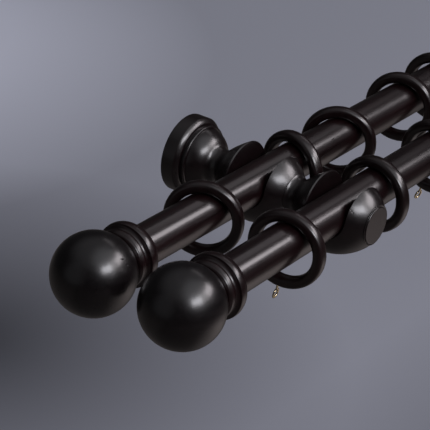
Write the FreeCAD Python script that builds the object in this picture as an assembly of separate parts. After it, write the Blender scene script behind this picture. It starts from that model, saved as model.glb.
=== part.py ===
"""Double curtain pole: two wooden poles on a pair of turned wall brackets, with rings and ball ends.

Millimetres. X runs along the poles, Y into the wall and Z up. The origin lies on the wall's face,
midway between the two brackets, level with the brackets' turning axes. The wall is the plane Y = 0,
and the whole assembly stands out from it towards -Y.
"""
import FreeCAD, Part
import math
import os

V = FreeCAD.Vector
X_AXIS = V(1, 0, 0)
Y_AXIS = V(0, 1, 0)
Z_AXIS = V(0, 0, 1)

# Poles
POLE_DIAMETER = 28.0
POLE_OVERHANG = 137.5       # bracket's middle to the pole's end
POLE_END_CHAMFER = 0.8
REAR_STANDOFF = 68.8        # wall to the rear pole's axis
POLE_SPACING = 65.5         # rear pole's axis to the front pole's axis
REAR_POLE_RISE = 3.6        # each pole's axis above the brackets' turning axis
FRONT_POLE_RISE = 4.6
REAR_POLE_SHIFT = -5.2      # the rear pole lies pushed this far along its saddles

# Turned brackets
BRACKET_SPACING = 725.0
ROSE_DIAMETER = 57.0
ROSE_SIDE = 9.5             # straight side of the wall rose
SHOULDER_DEPTH = 3.5        # slightly rounded slope in front of that side
SHOULDER_INSET = 3.5
SHOULDER_SWELL = 0.35
QUIRK_WIDTH = 1.5           # narrow groove between the shoulder and the fine bead
QUIRK_RADIUS = 23.4
FINE_BEAD_WIDTH = 2.2
FINE_BEAD_RADIUS = 24.5
BUN_START_RADIUS = 22.6     # bun in front of the bead
BUN_SWELL_AT = 5.4
BUN_SWELL_RADIUS = 20.3
BUN_LENGTH = 11.3
BUN_END_RADIUS = 14.2
REAR_NECK_RADIUS = 12.1     # thinnest turning behind the rear cup
REAR_NECK_AT = 33.0
FRONT_NECK_RADIUS = 12.5    # thinnest turning between the cups
FRONT_NECK_AT = 98.9
CUP_BACK_AT = 30.8          # where a cup's back starts, behind its pole's axis
CUP_BACK_RADIUS = 14.2
CUP_BACK_MID_AT = 23.8
CUP_BACK_MID_RADIUS = 20.1
CHEEK_RADIUS = 24.9
CHEEK_EDGE = 0.9            # narrow edge round each cheek
CHEEK_FALL = 0.5            # that edge slopes inwards by this much
BELLY_RADIUS = 29.2         # cup under a pole
CUP_MID_RADIUS = 24.0
CUP_MID_AT = 14.7
CUP_END_AT = 25.4
CUP_END_RADIUS = 14.8
CUP_LINE_WIDTH = 0.9        # line turned round each cup's end
CUP_LINE_DEPTH = 0.6
CAP_FACE_RADIUS = 11.8      # flat face within the cap's soft edge
CAP_FACE_STEP = 0.9
SCORE_WIDTH = 0.6           # fine turned lines
SCORE_DEPTH = 0.3
SADDLE_CLEARANCE = 1.7      # pole to cheek
SEAT_CLEARANCE = 0.15       # pole to the saddle's floor

# Wall plates, studs and inserts hidden in the roses
PLATE_DIAMETER = 46.0
PLATE_THICKNESS = 3.0
PLATE_CLEARANCE = 0.5
PLATE_SCREW_SPACING = 30.0
PLATE_SCREW_HOLE = 4.5
PLATE_SINK_DIAMETER = 8.5
PLATE_SINK_DEPTH = 2.0
STUD_DIAMETER = 8.0
STUD_LENGTH = 30.0
STUD_BEHIND = 0.5           # the stud's end stays this far inside the plate's back
INSERT_DIAMETER = 12.0
INSERT_LENGTH = 13.0
INSERT_FLANGE_DIAMETER = 15.0
INSERT_FLANGE = 1.2
THREAD_CLEARANCE = 0.05
STUD_HOLE_SPARE = 2.0

# Screws that lock the poles in their saddles, from below
LOCK_SCREW_DIAMETER = 3.5
LOCK_HEAD_DIAMETER = 7.0
LOCK_HEAD_HEIGHT = 2.4
LOCK_HEAD_SUNK = 3.0
LOCK_BITE = 9.0             # how far the screw enters the pole
LOCK_TIP = 2.0

# Ball finials
BALL_DIAMETER = 55.5
BALL_END = 22.9             # where the bead starts; from the ball's centre, along the pole
BEAD_AT = 24.8              # small bead behind the ball
BEAD_RADIUS = 19.2
BEAD_SCORES = (24.5, 25.8)  # fine lines turned into the bead
BEAD_END = 28.8
BEAD_END_RADIUS = 18.9
COVE_AT = 30.3              # hollow between the bead and the rim
COVE_RADIUS = 19.9
RIM_START = 31.0
RIM_START_RADIUS = 22.1
RIM_AT = 36.0               # broad round rim
RIM_RADIUS = 22.0
RIM_END_RADIUS = 17.4
FINIAL_LENGTH = 41.5        # ball's centre to the seat on the pole

# Double-ended screws that join the finials to the poles
DOWEL_SCREW_DIAMETER = 6.0
DOWEL_SCREW_LENGTH = 42.0
DOWEL_TIP = 3.0
DOWEL_HOLE_SPARE = 2.0

# Rings
RING_BORE = 39.8
RING_WALL = 8.0
RING_WIDTH = 9.4
RING_ROUND = 3.4
RING_HANG_GAP = 0.3         # between a ring and the top of its pole

# Screw eyes under the rings
EYE_WIRE = 1.4
EYE_LOOP_DIAMETER = 7.8
EYE_REACH = 11.4            # ring's underside to the eye's lowest point
EYE_BURIED = 5.0
EYE_MOUTH_DEGREES = 16.0
EYE_CLEARANCE = 0.05

# Rings from left to right: which place each is measured from (-1 left bracket, 0 the middle, 1 right
# bracket), its distance from there along X, how far it has turned about the vertical, and how far it
# has rolled about its own axis, which swings its eye towards the wall
FRONT_RINGS = [
    (-1, -66.8, 7.0, 8.0),
    (-1, 41.0, -4.0, 4.0),
    (-1, 122.5, -5.0, 15.0),
    (0, -120.0, 6.0, 5.0),
    (0, 10.0, -9.0, -4.0),
    (0, 130.0, 3.0, 6.0),
    (1, -100.5, -6.0, 2.0),
    (1, 67.5, -8.0, -5.0),
]
REAR_RINGS = [
    (-1, -69.7, 23.0, 3.0),
    (-1, 35.7, -11.0, 4.0),
    (-1, 95.8, 25.0, -3.0),
    (-1, 183.0, 11.5, -13.0),
    (-1, 236.0, -1.0, 4.0),
    (0, 40.0, 7.0, 6.0),
    (0, 200.0, -12.0, -2.0),
    (1, 70.5, 10.0, 3.0),
]

# Worked out from the sizes above
POLE_RADIUS = POLE_DIAMETER / 2
POLE_LENGTH = BRACKET_SPACING + 2 * POLE_OVERHANG
FRONT_STANDOFF = REAR_STANDOFF + POLE_SPACING
SADDLE_RADIUS = POLE_RADIUS + SADDLE_CLEARANCE
PLATE_POCKET = PLATE_THICKNESS + STUD_BEHIND
BRACKET_PLACES = (-BRACKET_SPACING / 2, BRACKET_SPACING / 2)
RING_CENTRE_DROP = RING_BORE / 2 - POLE_RADIUS - RING_HANG_GAP
RING_OUTER_RADIUS = RING_BORE / 2 + RING_WALL
CUPS = ((REAR_STANDOFF, REAR_POLE_RISE), (FRONT_STANDOFF, FRONT_POLE_RISE))
POLES = {
    "front": (0.0, -FRONT_STANDOFF, FRONT_POLE_RISE),
    "rear": (REAR_POLE_SHIFT, -REAR_STANDOFF, REAR_POLE_RISE),
}


def line(a, b):
    """Straight edge between two (along, radius) points of a turning profile."""
    return Part.makeLine(V(a[0], a[1], 0), V(b[0], b[1], 0))


def arc(a, mid, b):
    """Round edge through three (along, radius) points of a turning profile."""
    return Part.Arc(V(a[0], a[1], 0), V(mid[0], mid[1], 0), V(b[0], b[1], 0)).toShape()


def turned(edges):
    """Solid turned about the profile's own axis, which is X here."""
    face = Part.Face(Part.Wire(edges))
    return face.revolve(V(0, 0, 0), X_AXIS, 360)


def cylinder(radius, length, start, direction):
    """Cylinder from a start point along a direction."""
    return Part.makeCylinder(radius, length, start, direction)


def score_round(at, radius):
    """Cutter for a fine V line round a turning about X, at this place and surface radius."""
    half = SCORE_WIDTH / 2
    points = [V(at - half, radius, 0), V(at, radius - SCORE_DEPTH, 0), V(at + half, radius, 0)]
    points += [V(at + half, radius + 1, 0), V(at - half, radius + 1, 0), points[0]]
    return Part.Face(Part.makePolygon(points)).revolve(V(0, 0, 0), X_AXIS, 360)


def arc_radius(a, mid, b, at):
    """Height at one place of the round edge through three (along, radius) points."""
    curve = arc(a, mid, b).Curve
    centre = curve.Center
    return centre.y + math.sqrt(curve.Radius ** 2 - (at - centre.x) ** 2)


def save(node, shape):
    """Write one node's STEP file."""
    shape.exportStep("parts/" + node + ".step")


def bead_mid(a, b, swell):
    """Middle point of a small round between two profile points, pushed out from the axis."""
    return ((a[0] + b[0]) / 2, (a[1] + b[1]) / 2 + swell)


def cup_edges(standoff):
    """Cup that carries one pole: back, cheek edge, belly, round front and the line at its end."""
    back = (standoff - CUP_BACK_AT, CUP_BACK_RADIUS)
    back_mid = (standoff - CUP_BACK_MID_AT, CUP_BACK_MID_RADIUS)
    edge = (standoff - SADDLE_RADIUS - CHEEK_EDGE, CHEEK_RADIUS)
    cheek = (standoff - SADDLE_RADIUS, CHEEK_RADIUS - CHEEK_FALL)
    belly_mid = (standoff - SADDLE_RADIUS / 2, cheek[1] + (BELLY_RADIUS - cheek[1]) * 0.75)
    belly = (standoff, BELLY_RADIUS)
    front_mid = (standoff + CUP_MID_AT, CUP_MID_RADIUS)
    front = (standoff + CUP_END_AT, CUP_END_RADIUS)
    groove = (front[0] + CUP_LINE_WIDTH / 2, CUP_END_RADIUS - CUP_LINE_DEPTH)
    lip = (front[0] + CUP_LINE_WIDTH, CUP_END_RADIUS - CUP_LINE_DEPTH / 2)
    return [
        arc(back, back_mid, edge),
        line(edge, cheek),
        arc(cheek, belly_mid, belly),
        arc(belly, front_mid, front),
        line(front, groove),
        line(groove, lip),
    ]


def bracket_profile():
    """Half outline of the bracket, along its axis from the wall, as edges of one closed wire."""
    rose = ROSE_DIAMETER / 2
    shoulder = (ROSE_SIDE + SHOULDER_DEPTH, rose - SHOULDER_INSET)
    shoulder_mid = (
        ROSE_SIDE + SHOULDER_DEPTH / 2 + SHOULDER_SWELL * math.sqrt(0.5),
        rose - SHOULDER_INSET / 2 + SHOULDER_SWELL * math.sqrt(0.5),
    )
    quirk_a = (shoulder[0], QUIRK_RADIUS)
    quirk_b = (shoulder[0] + QUIRK_WIDTH, QUIRK_RADIUS)
    bead_top = (quirk_b[0] + FINE_BEAD_WIDTH / 2, FINE_BEAD_RADIUS)
    bun_a = (quirk_b[0] + FINE_BEAD_WIDTH, BUN_START_RADIUS)
    bun_mid = (bun_a[0] + BUN_SWELL_AT, BUN_SWELL_RADIUS)
    bun_b = (bun_a[0] + BUN_LENGTH, BUN_END_RADIUS)
    line_end = CUP_END_AT + CUP_LINE_WIDTH
    line_radius = CUP_END_RADIUS - CUP_LINE_DEPTH / 2
    rear_back = (REAR_STANDOFF - CUP_BACK_AT, CUP_BACK_RADIUS)
    rear_lip = (REAR_STANDOFF + line_end, line_radius)
    front_back = (FRONT_STANDOFF - CUP_BACK_AT, CUP_BACK_RADIUS)
    front_lip = (FRONT_STANDOFF + line_end, line_radius)
    face = (front_lip[0] + CAP_FACE_STEP, CAP_FACE_RADIUS)
    edges = [
        line((0, 0), (0, rose)),
        line((0, rose), (ROSE_SIDE, rose)),
        arc((ROSE_SIDE, rose), shoulder_mid, shoulder),
        line(shoulder, quirk_a),
        line(quirk_a, quirk_b),
        arc(quirk_b, bead_top, bun_a),
        arc(bun_a, bun_mid, bun_b),
        arc(bun_b, (REAR_NECK_AT, REAR_NECK_RADIUS), rear_back),
    ]
    edges += cup_edges(REAR_STANDOFF)
    edges.append(arc(rear_lip, (FRONT_NECK_AT, FRONT_NECK_RADIUS), front_back))
    edges += cup_edges(FRONT_STANDOFF)
    edges += [
        arc(front_lip, bead_mid(front_lip, face, 0.3), face),
        line(face, (face[0], 0)),
        line((face[0], 0), (0, 0)),
    ]
    return edges


def saddle_floor(rise):
    """Height of the lowest line of the saddle whose pole lies this far above the turning axis."""
    return rise - POLE_RADIUS - SEAT_CLEARANCE


def saddle_cutter(standoff, rise):
    """Round-bottomed channel, open at the top, that one pole drops into."""
    width = BELLY_RADIUS * 2
    centre_z = saddle_floor(rise) + SADDLE_RADIUS
    round_floor = cylinder(SADDLE_RADIUS, width, V(-width / 2, -standoff, centre_z), X_AXIS)
    open_top = Part.makeBox(
        width, SADDLE_RADIUS * 2, width, V(-width / 2, -standoff - SADDLE_RADIUS, centre_z)
    )
    return round_floor.fuse(open_top).removeSplitter()


def lock_screw_cutter(standoff, rise):
    """Hole from below through a cup's floor, counterbored for the screw's head."""
    shank = LOCK_SCREW_DIAMETER / 2 + THREAD_CLEARANCE
    head = LOCK_HEAD_DIAMETER / 2 + PLATE_CLEARANCE / 2
    low = V(0, -standoff, -BELLY_RADIUS - 1)
    hole = cylinder(shank, BELLY_RADIUS + saddle_floor(rise) + 2, low, Z_AXIS)
    counterbore = cylinder(head, LOCK_HEAD_SUNK + LOCK_HEAD_HEIGHT + 1, low, Z_AXIS)
    return hole.fuse(counterbore)


def bracket():
    """One turned bracket at X = 0: a single piece of wood with two saddles milled across it."""
    blank = turned(bracket_profile())
    blank.rotate(V(0, 0, 0), Z_AXIS, -90)
    pocket = cylinder(PLATE_DIAMETER / 2 + PLATE_CLEARANCE, PLATE_POCKET, V(0, 0, 0), -Y_AXIS)
    insert_hole = cylinder(
        INSERT_DIAMETER / 2 + THREAD_CLEARANCE, INSERT_LENGTH, V(0, -PLATE_POCKET, 0), -Y_AXIS
    )
    flange_hole = cylinder(
        INSERT_FLANGE_DIAMETER / 2 + PLATE_CLEARANCE, INSERT_FLANGE, V(0, -PLATE_POCKET, 0), -Y_AXIS
    )
    stud_hole = cylinder(
        STUD_DIAMETER / 2 + PLATE_CLEARANCE, STUD_BEHIND + STUD_LENGTH + STUD_HOLE_SPARE,
        V(0, 0, 0), -Y_AXIS,
    )
    cutters = [pocket, insert_hole, flange_hole, stud_hole]
    for standoff, rise in CUPS:
        cutters.append(saddle_cutter(standoff, rise))
        cutters.append(lock_screw_cutter(standoff, rise))
    return blank.cut(cutters)


def wall_plate():
    """Steel disc screwed to the wall behind a rose, with the stud's tapped hole in its middle."""
    plate = cylinder(PLATE_DIAMETER / 2, PLATE_THICKNESS, V(0, 0, 0), -Y_AXIS)
    centre_hole = cylinder(STUD_DIAMETER / 2 + THREAD_CLEARANCE, PLATE_THICKNESS, V(0, 0, 0), -Y_AXIS)
    cutters = [centre_hole]
    for side in (-1, 1):
        z = side * PLATE_SCREW_SPACING / 2
        cutters.append(cylinder(PLATE_SCREW_HOLE / 2, PLATE_THICKNESS, V(0, 0, z), -Y_AXIS))
        sink_start = V(0, -(PLATE_THICKNESS - PLATE_SINK_DEPTH), z)
        cutters.append(
            Part.makeCone(
                PLATE_SCREW_HOLE / 2, PLATE_SINK_DIAMETER / 2, PLATE_SINK_DEPTH, sink_start, -Y_AXIS
            )
        )
    return plate.cut(cutters)


def stud():
    """Threaded stud from the wall plate into the bracket's insert, plain shank with chamfered ends."""
    rod = cylinder(STUD_DIAMETER / 2, STUD_LENGTH, V(0, -STUD_BEHIND, 0), -Y_AXIS)
    ends = [e for e in rod.Edges if len(e.Vertexes) == 1]
    return rod.makeChamfer(0.6, ends)


def insert():
    """Flanged threaded insert set into the bracket's back."""
    barrel = cylinder(INSERT_DIAMETER / 2, INSERT_LENGTH, V(0, -PLATE_POCKET, 0), -Y_AXIS)
    flange = cylinder(INSERT_FLANGE_DIAMETER / 2, INSERT_FLANGE, V(0, -PLATE_POCKET, 0), -Y_AXIS)
    bore = cylinder(
        STUD_DIAMETER / 2 + THREAD_CLEARANCE, INSERT_LENGTH, V(0, -PLATE_POCKET, 0), -Y_AXIS
    )
    return barrel.fuse(flange).cut(bore)


def lock_screw(standoff, rise):
    """Wood screw, its head sunk in the cup's floor, that rises from below into the pole."""
    low = -BELLY_RADIUS + LOCK_HEAD_SUNK
    top = rise - POLE_RADIUS + LOCK_BITE
    r = LOCK_SCREW_DIAMETER / 2
    head = cylinder(LOCK_HEAD_DIAMETER / 2, LOCK_HEAD_HEIGHT, V(0, -standoff, low), Z_AXIS)
    shank = cylinder(r, top - LOCK_TIP - low, V(0, -standoff, low), Z_AXIS)
    tip = Part.makeCone(r, r * 0.2, LOCK_TIP, V(0, -standoff, top - LOCK_TIP), Z_AXIS)
    slot = Part.makeBox(
        LOCK_HEAD_DIAMETER, 1.0, 1.0, V(-LOCK_HEAD_DIAMETER / 2, -standoff - 0.5, low)
    )
    return head.fuse([shank, tip]).removeSplitter().cut(slot)


def pole(shift, y, rise):
    """Wooden dowel pole with bored ends and the pilot holes of its two lock screws."""
    start = V(shift - POLE_LENGTH / 2, y, rise)
    rod = cylinder(POLE_RADIUS, POLE_LENGTH, start, X_AXIS)
    ends = [e for e in rod.Edges if len(e.Vertexes) == 1]
    rod = rod.makeChamfer(POLE_END_CHAMFER, ends)
    depth = DOWEL_SCREW_LENGTH / 2 + DOWEL_HOLE_SPARE
    bore = DOWEL_SCREW_DIAMETER / 2 + THREAD_CLEARANCE
    cutters = [
        cylinder(bore, depth, start, X_AXIS),
        cylinder(bore, depth, start + V(POLE_LENGTH, 0, 0), -X_AXIS),
    ]
    pilot = LOCK_SCREW_DIAMETER / 2 + THREAD_CLEARANCE
    for x in BRACKET_PLACES:
        low = V(x, y, rise - POLE_RADIUS)
        cutters.append(cylinder(pilot, LOCK_BITE + LOCK_TIP, low, Z_AXIS))
    return rod.cut(cutters)


def finial():
    """Ball finial turned in one piece: ball, bead, cove and rim. Its seat faces +X."""
    ball = BALL_DIAMETER / 2
    lowest = (-ball, 0)
    bead_a = (BALL_END, math.sqrt(ball ** 2 - BALL_END ** 2))
    bead_mid_point = (BEAD_AT, BEAD_RADIUS)
    bead_b = (BEAD_END, BEAD_END_RADIUS)
    rim_a = (RIM_START, RIM_START_RADIUS)
    rim_b = (FINIAL_LENGTH, RIM_END_RADIUS)
    edges = [
        arc(lowest, (0, ball), bead_a),
        arc(bead_a, bead_mid_point, bead_b),
        arc(bead_b, (COVE_AT, COVE_RADIUS), rim_a),
        arc(rim_a, (RIM_AT, RIM_RADIUS), rim_b),
        line(rim_b, (FINIAL_LENGTH, 0)),
        line((FINIAL_LENGTH, 0), lowest),
    ]
    depth = DOWEL_SCREW_LENGTH / 2 + DOWEL_HOLE_SPARE
    bore = cylinder(
        DOWEL_SCREW_DIAMETER / 2 + THREAD_CLEARANCE, depth, V(FINIAL_LENGTH, 0, 0), -X_AXIS
    )
    cutters = [bore]
    for at in BEAD_SCORES:
        cutters.append(score_round(at, arc_radius(bead_a, bead_mid_point, bead_b, at)))
    return turned(edges).cut(cutters)


def place_finial(shape, side, middle):
    """Seat a finial on the left (-1) or right (+1) end of the pole with this middle point."""
    placed = shape.copy()
    if side > 0:
        placed.rotate(V(0, 0, 0), Z_AXIS, 180)
    placed.translate(middle + V(side * (POLE_LENGTH / 2 + FINIAL_LENGTH), 0, 0))
    return placed


def dowel_screw():
    """Double-ended screw along X, centred on the joint between finial and pole."""
    r = DOWEL_SCREW_DIAMETER / 2
    half = DOWEL_SCREW_LENGTH / 2
    body = cylinder(r, DOWEL_SCREW_LENGTH - 2 * DOWEL_TIP, V(DOWEL_TIP - half, 0, 0), X_AXIS)
    right = Part.makeCone(r, r * 0.3, DOWEL_TIP, V(half - DOWEL_TIP, 0, 0), X_AXIS)
    left = Part.makeCone(r, r * 0.3, DOWEL_TIP, V(DOWEL_TIP - half, 0, 0), -X_AXIS)
    return body.fuse([right, left]).removeSplitter()


def ring():
    """Turned wooden ring about X, with soft edges and the screw eye's hole in its underside."""
    inner = RING_BORE / 2
    outer = RING_OUTER_RADIUS
    half = RING_WIDTH / 2
    section = Part.makePolygon(
        [V(-half, inner, 0), V(half, inner, 0), V(half, outer, 0), V(-half, outer, 0), V(-half, inner, 0)]
    )
    body = Part.Face(section).revolve(V(0, 0, 0), X_AXIS, 360)
    rims = [e for e in body.Edges if e.Curve.TypeId == "Part::GeomCircle"]
    body = body.makeFillet(RING_ROUND, rims)
    hole = cylinder(
        EYE_WIRE / 2 + EYE_CLEARANCE, EYE_BURIED + 1, V(0, 0, -outer + EYE_BURIED), -Z_AXIS
    )
    return body.cut(hole)


def screw_eye():
    """Bent-wire eye that hangs under a ring, its loop square to the wall's normal."""
    wire = EYE_WIRE / 2
    low = -RING_OUTER_RADIUS - EYE_REACH
    mean = EYE_LOOP_DIAMETER / 2 - wire
    centre = V(0, 0, low + EYE_LOOP_DIAMETER / 2)
    loop = Part.makeTorus(mean, wire, centre, Y_AXIS, -180, 180, 360 - EYE_MOUTH_DEGREES)
    loop.rotate(centre, Y_AXIS, -90 - EYE_MOUTH_DEGREES)
    top = -RING_OUTER_RADIUS + EYE_BURIED
    shank_end = centre.z + mean
    shank = cylinder(wire, top - shank_end, V(0, 0, shank_end), Z_AXIS)
    return loop.fuse(shank).removeSplitter()


def hang(shape, roll, turn, at):
    """Hang a ring or its eye at this point of the pole's axis, rolled and turned as it rests."""
    placed = shape.copy()
    placed.rotate(V(0, 0, 0), X_AXIS, roll)
    placed.rotate(V(0, 0, 0), Z_AXIS, turn)
    placed.translate(at - V(0, 0, RING_CENTRE_DROP))
    return placed


def moved(shape, x):
    """Copy of a shape shifted along X."""
    placed = shape.copy()
    placed.translate(V(x, 0, 0))
    return placed


def build_brackets():
    """Both brackets with their wall plates, studs, inserts and lock screws."""
    wood = bracket()
    plate = wall_plate()
    for side, x in zip(("left", "right"), BRACKET_PLACES):
        save("bracket_" + side, moved(wood, x))
        save("wall_plate_" + side, moved(plate, x))
    save("bracket_studs", Part.makeCompound([moved(stud(), x) for x in BRACKET_PLACES]))
    save("bracket_inserts", Part.makeCompound([moved(insert(), x) for x in BRACKET_PLACES]))
    screws = [
        moved(lock_screw(standoff, rise), x)
        for x in BRACKET_PLACES
        for standoff, rise in CUPS
    ]
    save("pole_lock_screws", Part.makeCompound(screws))


def build_poles():
    """Both poles with a ball finial and a double-ended screw at each end."""
    ball_end = finial()
    joiner = dowel_screw()
    joiners = []
    for name, place in POLES.items():
        middle = V(*place)
        save("pole_" + name, pole(*place))
        for side, side_name in ((-1, "left"), (1, "right")):
            save("finial_" + name + "_" + side_name, place_finial(ball_end, side, middle))
            placed = joiner.copy()
            placed.translate(middle + V(side * POLE_LENGTH / 2, 0, 0))
            joiners.append(placed)
    save("finial_screws", Part.makeCompound(joiners))


def build_rings():
    """Every ring with its screw eye."""
    wood = ring()
    eye = screw_eye()
    for name, places in (("front", FRONT_RINGS), ("rear", REAR_RINGS)):
        y, rise = POLES[name][1:]
        for number, (side, offset, turn, roll) in enumerate(places, start=1):
            at = V(side * BRACKET_SPACING / 2 + offset, y, rise)
            save("ring_%s_%d" % (name, number), hang(wood, roll, turn, at))
            save("ring_eye_%s_%d" % (name, number), hang(eye, roll, turn, at))


os.makedirs("parts", exist_ok=True)
build_brackets()
build_poles()
build_rings()
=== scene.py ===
"""Double curtain pole: stained turned wood, brass screw eyes and steel fixings, in a plain studio.

Sizes are in millimetres until a mesh is finished, which is in metres. X runs along the poles, Y into
the wall and Z up, with the origin on the wall between the two brackets.
"""
import logging
import math
from dataclasses import dataclass
from enum import Enum
from typing import Iterable, Sequence

import bmesh
import bpy
from mathutils import Matrix, Vector

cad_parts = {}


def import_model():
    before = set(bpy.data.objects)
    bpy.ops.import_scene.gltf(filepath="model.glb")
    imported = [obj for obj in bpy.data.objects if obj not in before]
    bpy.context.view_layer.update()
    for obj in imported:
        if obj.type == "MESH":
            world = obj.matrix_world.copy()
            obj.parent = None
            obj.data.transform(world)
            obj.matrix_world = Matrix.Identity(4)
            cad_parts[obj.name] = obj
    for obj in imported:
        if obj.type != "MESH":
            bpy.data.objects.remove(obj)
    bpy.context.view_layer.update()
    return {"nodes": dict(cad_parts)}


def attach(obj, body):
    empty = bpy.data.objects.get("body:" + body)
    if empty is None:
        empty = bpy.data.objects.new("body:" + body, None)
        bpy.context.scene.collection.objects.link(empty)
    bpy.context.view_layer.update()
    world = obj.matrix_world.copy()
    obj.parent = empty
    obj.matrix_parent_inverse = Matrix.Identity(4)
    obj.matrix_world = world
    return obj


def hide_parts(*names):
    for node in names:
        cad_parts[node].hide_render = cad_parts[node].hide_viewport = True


LOG = logging.getLogger("double_curtain_pole")
MM = 0.001
Point = tuple[float, float]
Colour = tuple[float, float, float]
Place = tuple[float, float, float]
Value = float | bpy.types.NodeSocket


class Grain(Enum):
    """Direction that the wood's grain runs in."""

    ALONG_POLE = "x"
    ALONG_BRACKET = "y"
    UPRIGHT = "z"


@dataclass(frozen=True)
class Nick:
    """Small dent in the lacquer between two places, in millimetres."""

    start: Place
    end: Place
    width: float = 0.9


BALL_NICKS = (
    Nick((-546.7, -89.5, 22.1), (-543.2, -90.1, 21.0), 0.9),
    Nick((-544.2, -92.0, 18.6), (-543.6, -92.7, 17.4), 0.7),
    Nick((-543.2, -93.2, 16.6), (-542.4, -93.9, 14.6), 0.8),
)
POLE_NICKS = (
    Nick((-294.3, -79.5, 12.6), (-291.0, -79.1, 13.1), 0.7),
)
BRACKET_NICKS = (
    Nick((-380.3, -150.2, 15.0), (-380.0, -151.4, 14.0), 0.7),
    Nick((-380.2, -151.6, 13.6), (-379.8, -152.7, 12.8), 0.8),
)
BRACKET_DARK = (0.0014, 0.0006, 0.0007)
BRACKET_LIGHT = (0.0065, 0.0026, 0.0032)
BALL_DARK = (0.0011, 0.0006, 0.0008)
BALL_LIGHT = (0.0042, 0.0024, 0.0030)


@dataclass(frozen=True)
class StainedWood:
    """Near-black stained wood under a satin lacquer, with its few nicks."""

    name: str
    grain: Grain
    nicks: tuple[Nick, ...] = ()
    dark: Colour = (0.0018, 0.0004, 0.0005)
    light: Colour = (0.0085, 0.0019, 0.0025)
    roughness_low: float = 0.25
    roughness_high: float = 0.35
    coat: float = 0.35
    coat_roughness: float = 0.14
    lacquer_ior: float = 1.5
    bump_mm: float = 0.04
    bump_strength: float = 0.35
    nick_depth_mm: float = 0.35
    grain_along: float = 14.0
    grain_across: float = 420.0
    pores_finer: float = 2.2
    pores_share: float = 0.6
    cloud_scale: float = 9.0
    cloud_share: float = 0.3
    colour_span: Point = (0.30, 0.72)
    gloss_span: Point = (0.25, 0.75)

    def stretch(self, finer: float = 1.0) -> Place:
        """Scale of the grain pattern along X, Y and Z, small along the grain."""
        along, across = self.grain_along * finer, self.grain_across * finer
        return {
            Grain.ALONG_POLE: (along, across, across),
            Grain.ALONG_BRACKET: (across, along, across),
            Grain.UPRIGHT: (across, across, along),
        }[self.grain]

    def material(self) -> bpy.types.Material:
        """Build the wood's node material.

        Returns:
            The material.
        """
        graph = Finish(self.name)
        grain = graph.noise(self.stretch(), detail=6.0, roughness=0.62)
        cloud = graph.noise((self.cloud_scale,) * 3, detail=2.0, roughness=0.5)
        pores = graph.noise(self.stretch(self.pores_finer), detail=2.0, roughness=0.5)
        tone = graph.blend(grain, cloud, self.cloud_share)
        colour = graph.ramp(tone, list(zip(self.colour_span, (self.dark, self.light))))
        graph.link(colour, graph.shader.inputs["Base Color"])
        gloss = graph.map_range(tone, *self.gloss_span, self.roughness_low, self.roughness_high)
        graph.link(gloss, graph.shader.inputs["Roughness"])
        relief = graph.blend(grain, pores, self.pores_share)
        dent = None
        for nick in self.nicks:
            near = graph.nick(nick)
            dent = near if dent is None else graph.math("MAXIMUM", dent, near)
        graph.bump(relief, self.bump_mm * MM, self.bump_strength, dent, self.nick_depth_mm * MM)
        graph.shader.inputs["Coat Weight"].default_value = self.coat
        graph.shader.inputs["Coat Roughness"].default_value = self.coat_roughness
        graph.shader.inputs["Coat IOR"].default_value = self.lacquer_ior
        return graph.material


@dataclass(frozen=True)
class Metal:
    """Plain metal with fine surface scatter."""

    name: str
    colour: Colour
    roughness_low: float
    roughness_high: float
    bump_mm: float = 0.01
    bump_strength: float = 0.3
    spot_scale: float = 900.0
    darker_share: float = 0.72

    def material(self) -> bpy.types.Material:
        """Build the metal's node material.

        Returns:
            The material.
        """
        graph = Finish(self.name)
        spots = graph.noise((self.spot_scale,) * 3, detail=3.0, roughness=0.6)
        darker = tuple(self.darker_share * c for c in self.colour)
        graph.link(graph.ramp(spots, [(0.3, darker), (0.65, self.colour)]), graph.shader.inputs["Base Color"])
        gloss = graph.map_range(spots, 0.3, 0.7, self.roughness_low, self.roughness_high)
        graph.link(gloss, graph.shader.inputs["Roughness"])
        graph.bump(spots, self.bump_mm * MM, self.bump_strength)
        graph.shader.inputs["Metallic"].default_value = 1.0
        return graph.material


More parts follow.
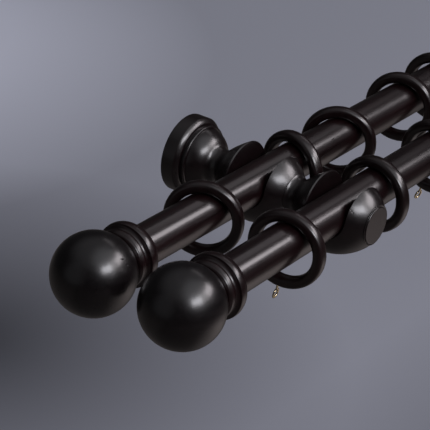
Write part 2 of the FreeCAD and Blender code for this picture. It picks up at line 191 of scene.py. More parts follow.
class Graph:
    """Small helper that builds a tree of shader nodes."""

    def __init__(self, tree: bpy.types.NodeTree, coordinates: str) -> None:
        """Start in a tree, with the named output of a Texture Coordinate node."""
        self.tree = tree
        self.coords = tree.nodes.new("ShaderNodeTexCoord").outputs[coordinates]

    def link(self, output: bpy.types.NodeSocket, socket: bpy.types.NodeSocket) -> None:
        """Join an output to an input."""
        self.tree.links.new(output, socket)

    def noise(self, stretch: Sequence[float], detail: float, roughness: float) -> bpy.types.NodeSocket:
        """Add a stretched noise.

        Args:
            stretch: Scale along X, Y and Z.
            detail: Octaves.
            roughness: Weight of the finer octaves.

        Returns:
            The noise's value socket.
        """
        mapping = self.tree.nodes.new("ShaderNodeMapping")
        mapping.inputs["Scale"].default_value = stretch
        self.link(self.coords, mapping.inputs["Vector"])
        texture = self.tree.nodes.new("ShaderNodeTexNoise")
        texture.inputs["Scale"].default_value = 1.0
        texture.inputs["Detail"].default_value = detail
        texture.inputs["Roughness"].default_value = roughness
        self.link(mapping.outputs["Vector"], texture.inputs["Vector"])
        return texture.outputs["Fac"]

    def math(self, operation: str, first: Value, second: Value) -> bpy.types.NodeSocket:
        """Add a Math node.

        Args:
            operation: Blender's name of the operation.
            first: A socket or a number.
            second: A socket or a number.

        Returns:
            The result's socket.
        """
        node = self.tree.nodes.new("ShaderNodeMath")
        node.operation = operation
        for value, socket in ((first, node.inputs[0]), (second, node.inputs[1])):
            if isinstance(value, (int, float)):
                socket.default_value = value
            else:
                self.link(value, socket)
        return node.outputs[0]

    def blend(self, first: Value, second: Value, share: float) -> bpy.types.NodeSocket:
        """Mix two values, with the given share of the second."""
        return self.math("ADD", self.math("MULTIPLY", first, 1 - share), self.math("MULTIPLY", second, share))

    def compare(self, operation: str, vector: Sequence[float]) -> bpy.types.NodeSocket:
        """Set the coordinates against one vector: DISTANCE from a place, or DOT_PRODUCT with a direction."""
        node = self.tree.nodes.new("ShaderNodeVectorMath")
        node.operation = operation
        node.inputs[1].default_value = vector
        self.link(self.coords, node.inputs[0])
        return node.outputs["Value"]

    def split(self, axis: str) -> bpy.types.NodeSocket:
        """One coordinate, by its axis."""
        node = self.tree.nodes.new("ShaderNodeSeparateXYZ")
        self.link(self.coords, node.inputs[0])
        return node.outputs[axis]

    def ramp(
        self, value: bpy.types.NodeSocket, stops: Sequence[tuple[float, Sequence[float]]]
    ) -> bpy.types.NodeSocket:
        """Colour a value by a ramp of (place, colour) stops and return the colour's socket."""
        node = self.tree.nodes.new("ShaderNodeValToRGB")
        for element, (place, colour) in zip(node.color_ramp.elements, stops):
            element.position = place
            element.color = (*colour, 1.0)
        self.link(value, node.inputs["Fac"])
        return node.outputs["Color"]

    def map_range(
        self, value: bpy.types.NodeSocket, low: float, high: float, to_low: float, to_high: float,
        interpolation: str = "LINEAR",
    ) -> bpy.types.NodeSocket:
        """Map a value from one range to another and return the result's socket."""
        node = self.tree.nodes.new("ShaderNodeMapRange")
        node.interpolation_type = interpolation
        for name, number in (
            ("From Min", low), ("From Max", high), ("To Min", to_low), ("To Max", to_high)
        ):
            node.inputs[name].default_value = number
        self.link(value, node.inputs["Value"])
        return node.outputs["Result"]


class Finish(Graph):
    """Principled material on Object coordinates, built node by node."""

    def __init__(self, name: str) -> None:
        """Start an empty material with its shader."""
        self.material = bpy.data.materials.new(name)
        self.material.use_nodes = True
        super().__init__(self.material.node_tree, "Object")
        self.shader = self.tree.nodes["Principled BSDF"]

    def nick(self, nick: Nick) -> bpy.types.NodeSocket:
        """Value that rises to 1 at the middle line of a nick and is 0 away from it."""
        start, end = Vector(nick.start) * MM, Vector(nick.end) * MM
        mapping = self.tree.nodes.new("ShaderNodeMapping")
        mapping.vector_type = "TEXTURE"
        mapping.inputs["Location"].default_value = (start + end) / 2
        mapping.inputs["Rotation"].default_value = (end - start).to_track_quat("X", "Z").to_euler()
        half = nick.width * MM / 2
        mapping.inputs["Scale"].default_value = ((end - start).length / 2 + half, half, half)
        self.link(self.coords, mapping.inputs["Vector"])
        length = self.tree.nodes.new("ShaderNodeVectorMath")
        length.operation = "LENGTH"
        self.link(mapping.outputs["Vector"], length.inputs[0])
        return self.map_range(length.outputs["Value"], 0.0, 1.0, 1.0, 0.0)

    def bump(
        self, height: bpy.types.NodeSocket, distance: float, strength: float,
        dent: bpy.types.NodeSocket | None = None, dent_depth: float = 0.0,
    ) -> None:
        """Raise the shader's normal by a height pattern, and sink it where a dent's value rises.

        Args:
            height: The pattern's socket.
            distance: What a height of 1 stands for, in metres.
            strength: Weight of the pattern.
            dent: Socket of the dents' value, or nothing.
            dent_depth: Depth of a dent, in metres.
        """
        node = self.tree.nodes.new("ShaderNodeBump")
        node.inputs["Distance"].default_value = distance
        node.inputs["Strength"].default_value = strength
        self.link(height, node.inputs["Height"])
        normals = [self.shader.inputs["Normal"]]
        if dent is not None:
            sunk = self.tree.nodes.new("ShaderNodeBump")
            sunk.invert = True
            sunk.inputs["Distance"].default_value = dent_depth
            self.link(dent, sunk.inputs["Height"])
            self.link(sunk.outputs["Normal"], node.inputs["Normal"])
            normals.append(self.shader.inputs["Coat Normal"])
        for socket in normals:
            self.link(node.outputs["Normal"], socket)


class Outline:
    """Half outline of a turning as (along, radius) points, joined by lines and round edges."""

    def __init__(self, start: Point, step: float = 0.8) -> None:
        """Start at one point; step is the longest stretch between points on a round edge."""
        self.points: list[Point] = [start]
        self.step = step

    def line(self, *points: Point) -> "Outline":
        """Go straight to each point in turn."""
        self.points.extend(points)
        return self

    def arc(self, middle: Point, end: Point) -> "Outline":
        """Go round through a middle point to the end.

        Args:
            middle: Any point of the round edge between its ends.
            end: Its last point.

        Returns:
            The outline itself.
        """
        a, b, c = (Vector(p).to_3d() for p in (self.points[-1], middle, end))
        ab, bc = b - a, c - b
        cross = ab.cross(bc).z
        mid_ab, mid_bc = (a + b) / 2, (b + c) / 2
        along = (mid_bc - mid_ab).dot(bc) / cross
        centre = mid_ab + Vector((-ab.y, ab.x, 0)) * along
        radius = (a - centre).length
        first = math.atan2(a.y - centre.y, a.x - centre.x)
        last = math.atan2(c.y - centre.y, c.x - centre.x)
        turn = (last - first) % math.tau
        if cross < 0:
            turn -= math.tau
        count = max(3, math.ceil(abs(turn) * radius / self.step))
        for i in range(1, count):
            angle = first + turn * i / count
            self.points.append((centre.x + radius * math.cos(angle), centre.y + radius * math.sin(angle)))
        self.points.append(end)
        return self

    def scored(self, at: float, width: float, depth: float) -> "Outline":
        """Press a fine V line into the outline made so far, where it passes one place."""
        kept = [p for p in self.points if abs(p[0] - at) > width / 2]
        before = [p for p in kept if p[0] < at][-1]
        after = next(p for p in kept[kept.index(before) + 1:] if p[0] > at)
        place = kept.index(before) + 1
        left, middle, right = (self.between(before, after, at + side * width / 2) for side in (-1, 0, 1))
        self.points = kept[:place] + [left, (at, middle[1] - depth), right] + kept[place:]
        return self

    @staticmethod
    def between(before: Point, after: Point, x: float) -> Point:
        """Point at one place along the line that joins two points."""
        share = (x - before[0]) / (after[0] - before[0])
        return (x, before[1] + (after[1] - before[1]) * share)


class Shop:
    """Mesh operations that the turned pieces share."""

    @staticmethod
    def turned(points: Sequence[Point], segments: int) -> bmesh.types.BMesh:
        """Turn a half outline about X.

        Args:
            points: The outline as (along, radius), from one end of the axis to the other.
            segments: Steps round the turning.

        Returns:
            A closed mesh about the X axis, in millimetres.
        """
        mesh = bmesh.new()
        verts = [mesh.verts.new((x, 0.0, r)) for x, r in points]
        edges = [mesh.edges.new(pair) for pair in zip(verts, verts[1:])]
        bmesh.ops.spin(
            mesh, geom=verts + edges, cent=(0, 0, 0), axis=(1, 0, 0), angle=math.tau,
            steps=segments, use_merge=True,
        )
        bmesh.ops.remove_doubles(mesh, verts=mesh.verts, dist=1e-5)
        bmesh.ops.recalc_face_normals(mesh, faces=mesh.faces)
        return mesh

    @staticmethod
    def soften(mesh: bmesh.types.BMesh, width: float, degrees: float = 35.0, segments: int = 2) -> None:
        """Round every edge sharper than an angle by a small bevel."""
        sharp = [
            e for e in mesh.edges
            if len(e.link_faces) == 2 and e.calc_face_angle(0.0) > math.radians(degrees)
        ]
        bmesh.ops.bevel(
            mesh, geom=sharp, offset=width, offset_type="OFFSET", affect="EDGES", segments=segments,
            profile=0.5, material=-1, clamp_overlap=True,
        )

    @staticmethod
    def piece(
        mesh: bmesh.types.BMesh, name: str, place: Matrix, material: bpy.types.Material,
        sharp_degrees: float = 40.0,
    ) -> bpy.types.Object:
        """Finish a mesh in millimetres as a named object in metres.

        Args:
            mesh: The mesh, which is used up.
            name: Name of the new object.
            place: Where it goes, in millimetres.
            material: Its finish.
            sharp_degrees: Edges sharper than this stay crisp.

        Returns:
            The object, at the origin, with its place in its mesh.
        """
        bmesh.ops.transform(mesh, matrix=Matrix.Scale(MM, 4) @ place, verts=mesh.verts)
        for face in mesh.faces:
            face.smooth = True
        for edge in mesh.edges:
            edge.smooth = edge.calc_face_angle(0.0) < math.radians(sharp_degrees)
        data = bpy.data.meshes.new(name)
        mesh.to_mesh(data)
        mesh.free()
        data.materials.append(material)
        made = bpy.data.objects.new(name, data)
        bpy.context.scene.collection.objects.link(made)
        LOG.info("made %s: %d faces", name, len(data.polygons))
        return made

    @staticmethod
    def cut(piece: bpy.types.Object, cutters: Iterable[bmesh.types.BMesh]) -> None:
        """Cut closed shapes, given in millimetres and in place, out of a piece."""
        for number, cutter in enumerate(cutters):
            bmesh.ops.transform(cutter, matrix=Matrix.Scale(MM, 4), verts=cutter.verts)
            data = bpy.data.meshes.new("cutter")
            cutter.to_mesh(data)
            cutter.free()
            tool = bpy.data.objects.new("cutter", data)
            bpy.context.scene.collection.objects.link(tool)
            modifier = piece.modifiers.new("cut_%d" % number, "BOOLEAN")
            modifier.operation = "DIFFERENCE"
            modifier.solver = "EXACT"
            modifier.object = tool
            Shop.apply(piece)
            bpy.data.objects.remove(tool)
            bpy.data.meshes.remove(data)

    @staticmethod
    def apply(piece: bpy.types.Object) -> None:
        """Apply all of a piece's modifiers to its mesh."""
        bpy.context.view_layer.update()
        graph = bpy.context.evaluated_depsgraph_get()
        data = bpy.data.meshes.new_from_object(piece.evaluated_get(graph))
        old = piece.data
        piece.modifiers.clear()
        piece.data = data
        data.name = old.name
        bpy.data.meshes.remove(old)

    @staticmethod
    def dress(piece: bpy.types.Object, body: str, slot: str, *nodes: str) -> None:
        """Let a piece ride on a body and stand for its nodes, which are hidden."""
        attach(piece, body)
        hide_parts(*nodes)


@dataclass
class Poles:
    """Two round wooden poles, bored at their ends for the finials' screws."""

    diameter: float = 28.0
    length: float = 1000.0
    chamfer: float = 0.8
    bore: float = 3.05
    bore_depth: float = 23.0
    segments: int = 128
    front: Place = (0.0, -134.3, 4.6)
    rear: Place = (-5.2, -68.8, 3.6)

    def rows(self) -> dict[str, Vector]:
        """Middle point of each pole's axis by name."""
        return {"front": Vector(self.front), "rear": Vector(self.rear)}

    def mesh(self) -> bmesh.types.BMesh:
        """Turn one pole about X, with its middle at the origin."""
        half, radius = self.length / 2, self.diameter / 2
        left = [
            (-half + self.bore_depth, 0.0), (-half + self.bore_depth, self.bore),
            (-half, self.bore), (-half, radius - self.chamfer), (-half + self.chamfer, radius),
        ]
        right = [(-x, r) for x, r in reversed(left)]
        return Shop.turned(left + right, self.segments)

    def build(self, wood: bpy.types.Material) -> None:
        """Make both poles."""
        for row, middle in self.rows().items():
            made = Shop.piece(self.mesh(), "wood_pole_" + row, Matrix.Translation(middle), wood)
            Shop.dress(made, "frame", "dark_wood", "pole_" + row)


@dataclass
class BallFinials:
    """Turned ball ends: ball, scored bead, cove and round rim."""

    ball: float = 27.75
    ball_end: float = 22.9
    bead: Point = (24.8, 19.2)
    bead_end: Point = (28.8, 18.9)
    cove: Point = (30.3, 19.9)
    rim_start: Point = (31.0, 22.1)
    rim: Point = (36.0, 22.0)
    rim_end: Point = (41.5, 17.4)
    scores: tuple[float, ...] = (24.5, 25.8)
    score_width: float = 0.6
    score_depth: float = 0.08
    eased: float = 0.25
    segments: int = 144

    def outline(self, bore: float, depth: float) -> list[Point]:
        """Half outline from the ball's tip to the seat on the pole, with the bore for the screw."""
        seat = self.rim_end[0]
        shape = Outline((-self.ball, 0.0))
        shape.arc((0.0, self.ball), (self.ball_end, math.sqrt(self.ball ** 2 - self.ball_end ** 2)))
        shape.arc(self.bead, self.bead_end)
        for at in self.scores:
            shape.scored(at, self.score_width, self.score_depth)
        shape.arc(self.cove, self.rim_start).arc(self.rim, self.rim_end)
        shape.line((seat, bore), (seat - depth, bore), (seat - depth, 0.0))
        return shape.points

    def build(self, poles: Poles, wood: bpy.types.Material, collar_wood: bpy.types.Material) -> None:
        """Make the four ball ends, whose collars are as brown as the poles."""
        for row, middle in poles.rows().items():
            for side, name in ((-1, "left"), (1, "right")):
                mesh = Shop.turned(self.outline(poles.bore, poles.bore_depth), self.segments)
                Shop.soften(mesh, self.eased)
                for face in mesh.faces:
                    face.material_index = int(face.calc_center_median().x > self.ball_end)
                centre = middle + Vector((side * (poles.length / 2 + self.rim_end[0]), 0, 0))
                turn = Matrix.Rotation(math.pi if side > 0 else 0.0, 4, "Z")
                place = Matrix.Translation(centre) @ turn
                made = Shop.piece(mesh, "ball_end_%s_%s" % (row, name), place, wood)
                made.data.materials.append(collar_wood)
                Shop.dress(made, "frame", "dark_wood", "finial_%s_%s" % (row, name))


@dataclass
class TurnedBrackets:
    """Wall brackets, each turned from one piece about Y and cut through by two saddles."""

    spacing: float = 725.0
    rose: float = 28.5
    rose_side: float = 9.5
    shoulder_depth: float = 3.5
    shoulder_inset: float = 3.5
    shoulder_swell: float = 0.35
    quirk_width: float = 1.5
    quirk: float = 23.4
    fine_bead_width: float = 2.2
    fine_bead: float = 24.5
    bun_start: float = 22.6
    bun_swell: Point = (5.4, 20.3)
    bun_end: Point = (10.75, 15.1)
    rear_neck: Point = (33.0, 12.1)
    front_neck: Point = (98.9, 12.5)
    cup_back: Point = (-30.8, 14.2)
    cup_back_mid: Point = (-23.8, 20.1)
    cheek: float = 24.9
    cheek_edge: float = 0.9
    cheek_fall: float = 0.5
    belly: float = 29.2
    cup_mid: Point = (14.7, 24.0)
    cup_end: Point = (25.4, 14.8)
    cup_line: Point = (0.9, 0.6)
    cap_step: float = 0.9
    cap_face: float = 12.4
    ridge_top: Point = (-0.15, 0.0)
    ridge_end: Point = (0.2, -0.6)
    valley: Point = (0.15, -1.2)
    rim_swell: Point = (-0.25, 0.7)
    ridge_step: float = 0.12
    saddle: float = 15.7
    seat_gap: float = 0.15
    pocket: Point = (3.5, 23.5)
    counterbore: Point = (5.4, 3.75)
    screw_hole: float = 1.8
    hole_past_floor: float = 3.0
    cutter_spare: float = 5.0
    saddle_steps: int = 48
    hole_steps: int = 32
    eased: float = 0.22
    eased_degrees: float = 32.0
    segments: int = 160

    def cup(self, shape: Outline, standoff: float) -> None:
        """Add one cup's outline: back, cheek edge, belly, round front and the line at its end."""
        cheek = self.cheek - self.cheek_fall
        swell = cheek + (self.belly - cheek) * 0.75
        end = standoff + self.cup_end[0]
        edge = standoff - self.saddle - self.cheek_edge
        shape.arc((standoff + self.cup_back_mid[0], self.cup_back_mid[1]), (edge, self.cheek))
        shape.line((standoff - self.saddle, cheek))
        shape.arc((standoff - self.saddle / 2, swell), (standoff, self.belly))
        shape.arc((standoff + self.cup_mid[0], self.cup_mid[1]), (end, self.cup_end[1]))
        shape.line((end + self.cup_line[0] / 2, self.cup_end[1] - self.cup_line[1]))
        shape.line((end + self.cup_line[0], self.cup_end[1] - self.cup_line[1] / 2))

    def outline(self, rear: float, front: float) -> list[Point]:
        """Half outline from the wall outwards.

        Args:
            rear: The rear pole's distance from the wall.
            front: The front pole's distance from the wall.

        Returns:
            The (along, radius) points.
        """
        shoulder = (self.rose_side + self.shoulder_depth, self.rose - self.shoulder_inset)
        swell = self.shoulder_swell * math.sqrt(0.5)
        shoulder_mid = (
            self.rose_side + self.shoulder_depth / 2 + swell,
            self.rose - self.shoulder_inset / 2 + swell,
        )
        quirk_end = shoulder[0] + self.quirk_width
        bun = quirk_end + self.fine_bead_width
        shape = Outline((self.pocket[0], 0.0))
        shape.line((self.pocket[0], self.pocket[1]), (0.0, self.pocket[1]), (0.0, self.rose))
        shape.line((self.rose_side, self.rose)).arc(shoulder_mid, shoulder)
        shape.line((shoulder[0], self.quirk), (quirk_end, self.quirk))
        shape.arc((quirk_end + self.fine_bead_width / 2, self.fine_bead), (bun, self.bun_start))
        shape.arc((bun + self.bun_swell[0], self.bun_swell[1]), (bun + self.bun_end[0], self.bun_end[1]))
        for neck, standoff in ((self.rear_neck, rear), (self.front_neck, front)):
            shape.arc(neck, (standoff + self.cup_back[0], self.cup_back[1]))
            self.cup(shape, standoff)
        lip = shape.points.pop()
        face = lip[0] + self.cap_step
        top, end, valley = (
            (lip[0] + along, lip[1] + up) for along, up in (self.ridge_top, self.ridge_end, self.valley)
        )
        shape.step = self.ridge_step
        shape.arc(top, end).line(valley)
        shape.arc((face + self.rim_swell[0], self.cap_face + self.rim_swell[1]), (face, self.cap_face))
        shape.line((face, 0.0))
        return shape.points

    def saddle_cutter(self, x: float, standoff: float, floor_z: float) -> bmesh.types.BMesh:
        """Round-bottomed channel, open at the top, in place."""
        mesh = bmesh.new()
        reach = self.belly * 2
        centre = Vector((x - self.belly - self.cutter_spare, -standoff, floor_z + self.saddle))
        first = mesh.verts.new(centre + Vector((0, -self.saddle, 0)))
        bmesh.ops.spin(
            mesh, geom=[first], cent=centre, axis=(1, 0, 0), angle=math.pi, steps=self.saddle_steps,
            use_merge=False,
        )
        floor = sorted(mesh.verts, key=lambda v: v.co.y)
        tops = [mesh.verts.new(v.co + Vector((0, 0, reach))) for v in (floor[-1], floor[0])]
        face = mesh.faces.new(floor + tops)
        grown = bmesh.ops.extrude_face_region(mesh, geom=[face])
        moved = [g for g in grown["geom"] if isinstance(g, bmesh.types.BMVert)]
        bmesh.ops.translate(mesh, verts=moved, vec=(reach + 2 * self.cutter_spare, 0, 0))
        bmesh.ops.recalc_face_normals(mesh, faces=mesh.faces)
        return mesh

    def screw_cutter(self, x: float, standoff: float, floor_z: float) -> bmesh.types.BMesh:
        """Counterbored hole from below for one lock screw, in place."""
        low = -self.belly - 1.0
        step = -self.belly + self.counterbore[0]
        high = floor_z + self.hole_past_floor
        shape = [
            (low, 0.0), (low, self.counterbore[1]), (step, self.counterbore[1]),
            (step, self.screw_hole), (high, self.screw_hole), (high, 0.0),
        ]
        mesh = Shop.turned(shape, self.hole_steps)
        place = Matrix.Translation((x, -standoff, 0)) @ Matrix.Rotation(-math.pi / 2, 4, "Y")
        bmesh.ops.transform(mesh, matrix=place, verts=mesh.verts)
        return mesh

    def build(self, poles: Poles, wood: bpy.types.Material) -> None:
        """Make both brackets."""
        rows = poles.rows().values()
        front, rear = (-row.y for row in rows)
        for side, name in ((-1, "left"), (1, "right")):
            x = side * self.spacing / 2
            mesh = Shop.turned(self.outline(rear, front), self.segments)
            place = Matrix.Translation((x, 0, 0)) @ Matrix.Rotation(-math.pi / 2, 4, "Z")
            made = Shop.piece(mesh, "turned_bracket_" + name, place, wood)
            cutters = []
            for row in rows:
                floor_z = row.z - poles.diameter / 2 - self.seat_gap
                cutters.append(self.saddle_cutter(x, -row.y, floor_z))
                cutters.append(self.screw_cutter(x, -row.y, floor_z))
            Shop.cut(made, cutters)
            self.ease_edges(made)
            Shop.dress(made, "frame", "dark_wood", "bracket_" + name)

    def ease_edges(self, piece: bpy.types.Object) -> None:
        """Round the sharp edges that turning and milling leave, and even out the shading."""
        bevel = piece.modifiers.new("eased_edges", "BEVEL")
        bevel.limit_method = "ANGLE"
        bevel.angle_limit = math.radians(self.eased_degrees)
        bevel.width = self.eased * MM
        bevel.segments = 3
        bevel.use_clamp_overlap = True
        bevel.harden_normals = True
        weights = piece.modifiers.new("even_shading", "WEIGHTED_NORMAL")
        weights.keep_sharp = True


@dataclass
class CurtainRings:
    """Turned wooden rings hung on the poles, each with a brass eye under it.

    A resting ring is (place along X, degrees turned about Z, degrees rolled about X).
    """

    bore: float = 39.8
    wall: float = 8.0
    width: float = 9.4
    squareness: float = 2.8
    hang_gap: float = 0.3
    segments: int = 128
    section_points: int = 36
    front: tuple[Place, ...] = (
        (-429.3, 7.0, 8.0), (-321.5, -4.0, 4.0), (-240.0, -5.0, 15.0), (-120.0, 6.0, 5.0),
        (10.0, -9.0, -4.0), (130.0, 3.0, 6.0), (262.0, -6.0, 2.0), (430.0, -8.0, -5.0),
    )
    rear: tuple[Place, ...] = (
        (-432.2, 23.0, 3.0), (-326.8, -11.0, 4.0), (-266.7, 25.0, -3.0), (-179.5, 11.5, -13.0),
        (-126.5, -1.0, 4.0), (40.0, 7.0, 6.0), (200.0, -12.0, -2.0), (433.0, 10.0, 3.0),
    )

    @property
    def outer(self) -> float:
        """Outer radius."""
        return self.bore / 2 + self.wall

    def mesh(self) -> bmesh.types.BMesh:
        """Turn one ring about X from its soft-cornered section."""
        middle = (self.bore + self.wall) / 2
        mesh = bmesh.new()
        power = 2.0 / self.squareness
        verts = []
        for i in range(self.section_points):
            angle = math.tau * i / self.section_points
            c, s = math.cos(angle), math.sin(angle)
            x = math.copysign(abs(c) ** power, c) * self.width / 2
            r = middle + math.copysign(abs(s) ** power, s) * self.wall / 2
            verts.append(mesh.verts.new((x, 0.0, r)))
        edges = [mesh.edges.new(pair) for pair in zip(verts, verts[1:] + verts[:1])]
        bmesh.ops.spin(
            mesh, geom=verts + edges, cent=(0, 0, 0), axis=(1, 0, 0), angle=math.tau,
            steps=self.segments, use_merge=True,
        )
        bmesh.ops.remove_doubles(mesh, verts=mesh.verts, dist=1e-5)
        bmesh.ops.recalc_face_normals(mesh, faces=mesh.faces)
        return mesh

    def build(
        self, poles: Poles, eye: "ScrewEye", wood: bpy.types.Material, brass: bpy.types.Material
    ) -> None:
        """Hang every ring and its eye."""
        drop = self.bore / 2 - poles.diameter / 2 - self.hang_gap
        for row, places in (("front", self.front), ("rear", self.rear)):
            axis = poles.rows()[row]
            for number, (x, turn, roll) in enumerate(places, start=1):
                turned = Matrix.Rotation(math.radians(turn), 4, "Z")
                rolled = Matrix.Rotation(math.radians(roll), 4, "X")
                place = Matrix.Translation((x, axis.y, axis.z - drop)) @ (turned @ rolled)
                body = "%s_ring_%d" % (row, number)
                made = Shop.piece(self.mesh(), "curtain_ring_%s_%d" % (row, number), place, wood)
                Shop.dress(made, body, "dark_wood", "ring_%s_%d" % (row, number))
                hook = Shop.piece(eye.mesh(self.outer), "screw_eye_%s_%d" % (row, number), place, brass)
                Shop.dress(hook, body, "eye_brass", "ring_eye_%s_%d" % (row, number))


@dataclass
class ScrewEye:
    """Bent brass wire: a straight shank that turns into an almost closed loop."""

    wire: float = 1.4
    loop: float = 7.8
    reach: float = 11.4
    buried: float = 5.0
    bend: float = 1.0
    mouth_degrees: float = 14.0
    section: int = 14
    bend_steps: int = 8
    loop_steps: int = 48

    def mesh(self, ring_outer: float) -> bmesh.types.BMesh:
        """Bend one eye under a ring of this outer radius, whose centre is the origin."""
        mean = (self.loop - self.wire) / 2
        centre = Vector((0, 0, -ring_outer - self.reach + self.loop / 2))
        turn = math.acos(self.bend / (mean + self.bend))
        rest = math.pi / 2 - turn
        bend_z = centre.z + mean * math.cos(rest) + self.bend * math.sin(turn)
        top = -ring_outer + self.buried
        mesh = bmesh.new()
        made = bmesh.ops.create_circle(
            mesh, cap_ends=False, radius=self.wire / 2, segments=self.section,
            matrix=Matrix.Translation((0, 0, top)),
        )
        start = list(made["verts"])
        cap = mesh.faces.new(start)
        ring = self.carry(mesh, list(cap.edges), Vector((0, 0, bend_z - top)))
        ring = self.curl(mesh, ring, Vector((self.bend, 0, bend_z)), -turn, self.bend_steps)
        sweep = math.tau - rest - math.radians(self.mouth_degrees)
        ring = self.curl(mesh, ring, centre, sweep, self.loop_steps)
        mesh.faces.new(self.loop_verts(ring))
        bmesh.ops.recalc_face_normals(mesh, faces=mesh.faces)
        return mesh

    @staticmethod
    def carry(mesh: bmesh.types.BMesh, edges: list, move: Vector) -> list:
        """Draw the wire's end straight on and return its new edges."""
        grown = bmesh.ops.extrude_edge_only(mesh, edges=edges)["geom"]
        verts = [g for g in grown if isinstance(g, bmesh.types.BMVert)]
        bmesh.ops.translate(mesh, verts=verts, vec=move)
        return [g for g in grown if isinstance(g, bmesh.types.BMEdge) and all(v in verts for v in g.verts)]

    @staticmethod
    def curl(mesh: bmesh.types.BMesh, edges: list, centre: Vector, angle: float, steps: int) -> list:
        """Draw the wire's end round a centre, about Y, and return its new edges."""
        grown = bmesh.ops.spin(
            mesh, geom=edges, cent=centre, axis=(0, 1, 0), angle=angle, steps=steps, use_merge=False
        )
        return [g for g in grown["geom_last"] if isinstance(g, bmesh.types.BMEdge)]

    @staticmethod
    def loop_verts(edges: list) -> list:
        """Vertices of a closed ring of edges, in order."""
        left = list(edges)
        edge = left.pop()
        order = [edge.verts[0], edge.verts[1]]
        while len(order) < len(edges):
            following = next(e for e in left if order[-1] in e.verts)
            left.remove(following)
            order.append(following.other_vert(order[-1]))
        return order


class Fixings:
    """Plates, studs, inserts and screws, which keep their own shapes and get their metals."""

    STEEL_NODES = (
        "wall_plate_left", "wall_plate_right", "bracket_studs", "pole_lock_screws", "finial_screws",
    )
    BRASS_NODES = ("bracket_inserts",)

    def build(self, nodes: dict, steel: bpy.types.Material, brass: bpy.types.Material) -> None:
        """Give each fixing its metal.

        Args:
            nodes: The frame's objects by node name.
            steel: The zinc-plated steel.
            brass: The machined brass.
        """
        for names, metal in ((self.STEEL_NODES, steel), (self.BRASS_NODES, brass)):
            for name in names:
                for slot in nodes[name].material_slots:
                    slot.material = metal
                LOG.info("dressed %s", name)


@dataclass(frozen=True)
class Softbox:
    """One soft panel that faces the object: its direction in degrees, its distance and size in metres."""

    name: str
    azimuth: float
    elevation: float
    distance: float
    size: Point
    watts: float
    colour: Colour


@dataclass(frozen=True)
class PaintedPool:
    """Round pool of painted light and shade on the floor, in metres, with its tone up to an inner radius and
    past an outer one.
    """

    centre: Point
    inner: float
    outer: float
    tone_inside: float
    tone_outside: float


@dataclass(frozen=True)
class Glow:
    """Light of the room that grows from weak to strong as a value goes from low to high."""

    low: float
    high: float
    weak: float
    strong: float

    def over(self, graph: Graph, value: bpy.types.NodeSocket) -> bpy.types.NodeSocket:
        """Add this glow over a value to a node tree."""
        return graph.map_range(value, self.low, self.high, self.weak, self.strong, "SMOOTHSTEP")


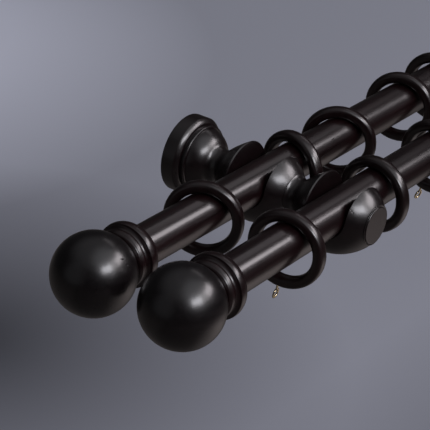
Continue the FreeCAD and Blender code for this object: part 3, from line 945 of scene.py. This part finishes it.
@dataclass
class Studio:
    """Floor, lamps, room and camera."""

    floor_z: float = -0.95
    floor_half: float = 9.0
    floor_colour: Colour = (0.62, 0.61, 0.63)
    # Painted light and shade on the floor: a dark pool of painted shadow, a painted lightening that grows
    # with distance and a pool of painted light at the far corner.
    painted_floor_shading: tuple[PaintedPool, ...] = (
        PaintedPool((0.45, 1.00), 0.05, 0.62, 0.08, 0.49),
        PaintedPool((0.50, 0.60), 0.70, 2.20, 0.00, 0.13),
        PaintedPool((1.10, 2.10), 0.45, 0.90, 0.45, 0.00),
    )
    # Painted shade: across this span of Y the floor's painted tone fades, to dark on the room's side.
    painted_shade_span: Point = (-0.2, 0.5)
    # Pool of painted light on the floor in front of the object, shown to the camera and mirrored by the
    # lacquer as a painted reflection.
    painted_light_pool: PaintedPool = PaintedPool((0.55, -0.95), 0.20, 1.15, 0.90, 0.09)
    # Greys shown to the camera, from painted shade to painted light.
    seen: tuple[Colour, Colour] = ((0.025, 0.026, 0.03), (0.615, 0.64, 0.74))
    # Greys that the lacquer mirrors, from painted shade to painted light: painted reflections on the wood.
    mirrored: tuple[Colour, Colour] = ((0.02, 0.02, 0.02), (0.68, 0.61, 0.57))
    mirrored_share: float = 0.3
    softboxes: tuple[Softbox, ...] = (
        Softbox("front_softbox", -12, 36, 4.0, (1.9, 1.1), 76.0, (0.95, 0.94, 1.0)),
        Softbox("side_softbox", 47, 35, 4.0, (1.9, 1.1), 50.0, (1.0, 0.93, 0.97)),
        Softbox("between_softboxes", 17, 37, 4.1, (2.0, 1.5), 32.0, (1.0, 0.95, 0.98)),
        Softbox("far_softbox", 97, 43, 4.0, (1.6, 0.5), 2.2, (1.0, 0.93, 0.97)),
    )
    room_colour: Colour = (0.94, 0.95, 1.0)
    ceiling: Glow = Glow(0.45, 0.95, 0.025, 0.25)
    upper_at: Point = (8, 52)
    upper: Glow = Glow(0.70, 0.97, 0.0, 0.6)
    upper_by_height: Glow = Glow(0.40, 0.62, 0.0, 1.0)
    left_at: Point = (-105, 15)
    left: Glow = Glow(0.80, 0.98, 0.0, 0.12)
    lens: float = 151.45
    sensor: float = 36.0
    camera_at: Place = (-1.3080, -0.68107, 0.56447)
    camera_right: Place = (0.5944, -0.80140, 0.06633)
    camera_down: Place = (-0.3402, -0.32547, -0.88222)
    camera_forward: Place = (0.7286, 0.50186, -0.46608)
    aim: Place = (-0.35, -0.12, 0.0)

    def floor(self) -> None:
        """Lay the pale floor, which shows the camera the photograph's grey."""
        mesh = bmesh.new()
        bmesh.ops.create_grid(mesh, x_segments=1, y_segments=1, size=self.floor_half)
        bmesh.ops.translate(mesh, verts=mesh.verts, vec=(0, 0, self.floor_z))
        data = bpy.data.meshes.new("floor")
        mesh.to_mesh(data)
        mesh.free()
        data.materials.append(self.floor_material())
        made = bpy.data.objects.new("floor", data)
        bpy.context.scene.collection.objects.link(made)

    def shade(self, graph: Graph, shade: PaintedPool) -> bpy.types.NodeSocket:
        """Tone of one round pool of painted light and shade at each point of the floor."""
        away = graph.compare("DISTANCE", (*shade.centre, self.floor_z))
        return graph.map_range(away, shade.inner, shade.outer, shade.tone_inside, shade.tone_outside)

    def floor_material(self) -> bpy.types.Material:
        """Matt floor, pale to the lamps, that shows the camera and the lacquer the photograph's greys."""
        graph = Finish("studio_floor")
        # Painted light and shade: the pools add up to one tone, which then fades to dark on the room's side.
        painted_shading: Value = 0.0
        for shade in self.painted_floor_shading:
            painted_shading = graph.math("ADD", painted_shading, self.shade(graph, shade))
        near = graph.map_range(graph.split("Y"), *self.painted_shade_span, 0.0, 1.0)
        painted_shading = graph.math("MULTIPLY", painted_shading, near)
        # Painted pool of light, which lifts both the greys shown to the camera and the mirrored ones.
        painted_light = self.shade(graph, self.painted_light_pool)
        seen = graph.ramp(graph.math("MAXIMUM", painted_shading, painted_light), list(enumerate(self.seen)))
        # The lacquer mirrors a weaker share of the painted light and shade.
        dimmed = graph.math("MULTIPLY", painted_shading, self.mirrored_share)
        mirrored = graph.ramp(graph.math("MAXIMUM", dimmed, painted_light), list(enumerate(self.mirrored)))
        path = graph.tree.nodes.new("ShaderNodeLightPath")
        shown = graph.math("MAXIMUM", path.outputs["Is Camera Ray"], path.outputs["Is Transmission Ray"])
        colour = None
        for factor, tint in ((path.outputs["Is Glossy Ray"], mirrored), (shown, seen)):
            mix = graph.tree.nodes.new("ShaderNodeMix")
            mix.data_type = "RGBA"
            mix.inputs["A"].default_value = (*self.floor_colour, 1.0)
            graph.link(factor, mix.inputs["Factor"])
            graph.link(tint, mix.inputs["B"])
            if colour is not None:
                graph.link(colour, mix.inputs["A"])
            colour = mix.outputs["Result"]
        graph.link(colour, graph.shader.inputs["Base Color"])
        graph.shader.inputs["Roughness"].default_value = 1.0
        graph.shader.inputs["Specular IOR Level"].default_value = 0.0
        return graph.material

    @staticmethod
    def towards(azimuth: float, elevation: float) -> Place:
        """Direction by degrees: azimuth 0 is the room's side of the wall and 90 is +X."""
        a, e = math.radians(azimuth), math.radians(elevation)
        return (math.sin(a) * math.cos(e), -math.cos(a) * math.cos(e), math.sin(e))

    def lights(self) -> None:
        """Hang the two softboxes, the paler stretch between them and the room's own dim light."""
        for box in self.softboxes:
            data = bpy.data.lights.new(box.name, "AREA")
            data.shape = "RECTANGLE"
            data.size, data.size_y = box.size
            data.energy = box.watts
            data.color = box.colour
            made = bpy.data.objects.new(box.name, data)
            away = Vector(self.towards(box.azimuth, box.elevation)).normalized()
            made.location = Vector(self.aim) + away * box.distance
            made.rotation_mode = "QUATERNION"
            made.rotation_quaternion = away.to_track_quat("Z", "Y")
            bpy.context.scene.collection.objects.link(made)

    def world(self) -> None:
        """Dim room with a paler ceiling, a soft glow above the softboxes and a faint one to the left."""
        world = bpy.data.worlds.new("room")
        world.use_nodes = True
        graph = Graph(world.node_tree, "Generated")
        height = graph.split("Z")
        upper = self.upper.over(graph, graph.compare("DOT_PRODUCT", self.towards(*self.upper_at)))
        left = self.left.over(graph, graph.compare("DOT_PRODUCT", self.towards(*self.left_at)))
        glow = graph.math("MULTIPLY", upper, self.upper_by_height.over(graph, height))
        glow = graph.math("ADD", glow, left)
        strength = graph.math("ADD", self.ceiling.over(graph, height), glow)
        back = graph.tree.nodes["Background"]
        back.inputs["Color"].default_value = (*self.room_colour, 1.0)
        graph.link(strength, back.inputs["Strength"])
        bpy.context.scene.world = world

    def camera(self) -> None:
        """Stand the camera where the photograph was taken from."""
        data = bpy.data.cameras.new("camera")
        data.sensor_width = self.sensor
        data.lens = self.lens
        made = bpy.data.objects.new("camera", data)
        axes = (Vector(self.camera_right), -Vector(self.camera_down), -Vector(self.camera_forward))
        turn = Matrix(axes).transposed()
        made.rotation_mode = "QUATERNION"
        made.rotation_quaternion = turn.to_quaternion()
        made.location = self.camera_at
        bpy.context.scene.collection.objects.link(made)
        bpy.context.scene.camera = made

    def build(self) -> None:
        """Set up everything round the object."""
        self.camera()
        self.floor()
        self.lights()
        self.world()
        bpy.context.scene.view_settings.view_transform = "Standard"


def main() -> None:
    """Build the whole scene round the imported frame."""
    logging.basicConfig(level=logging.INFO, format="%(name)s: %(message)s")
    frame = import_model()
    pole_wood = StainedWood("pole_wood", Grain.ALONG_POLE, POLE_NICKS).material()
    ball_wood = StainedWood(
        "ball_wood", Grain.ALONG_POLE, BALL_NICKS, BALL_DARK, BALL_LIGHT, coat_roughness=0.2,
    ).material()
    bracket_wood = StainedWood(
        "bracket_wood", Grain.ALONG_BRACKET, BRACKET_NICKS, BRACKET_DARK, BRACKET_LIGHT, coat_roughness=0.2,
    ).material()
    ring_wood = StainedWood("ring_wood", Grain.UPRIGHT).material()
    eye_brass = Metal("eye_brass", (0.86, 0.72, 0.46), 0.14, 0.26).material()
    insert_brass = Metal("insert_brass", (0.72, 0.55, 0.3), 0.25, 0.4).material()
    steel = Metal("zinc_steel", (0.62, 0.63, 0.65), 0.28, 0.45).material()
    poles = Poles()
    poles.build(pole_wood)
    BallFinials().build(poles, ball_wood, pole_wood)
    TurnedBrackets().build(poles, bracket_wood)
    CurtainRings().build(poles, ScrewEye(), ring_wood, eye_brass)
    Fixings().build(frame["nodes"], steel, insert_brass)
    Studio().build()


if __name__ == "__main__":
    main()
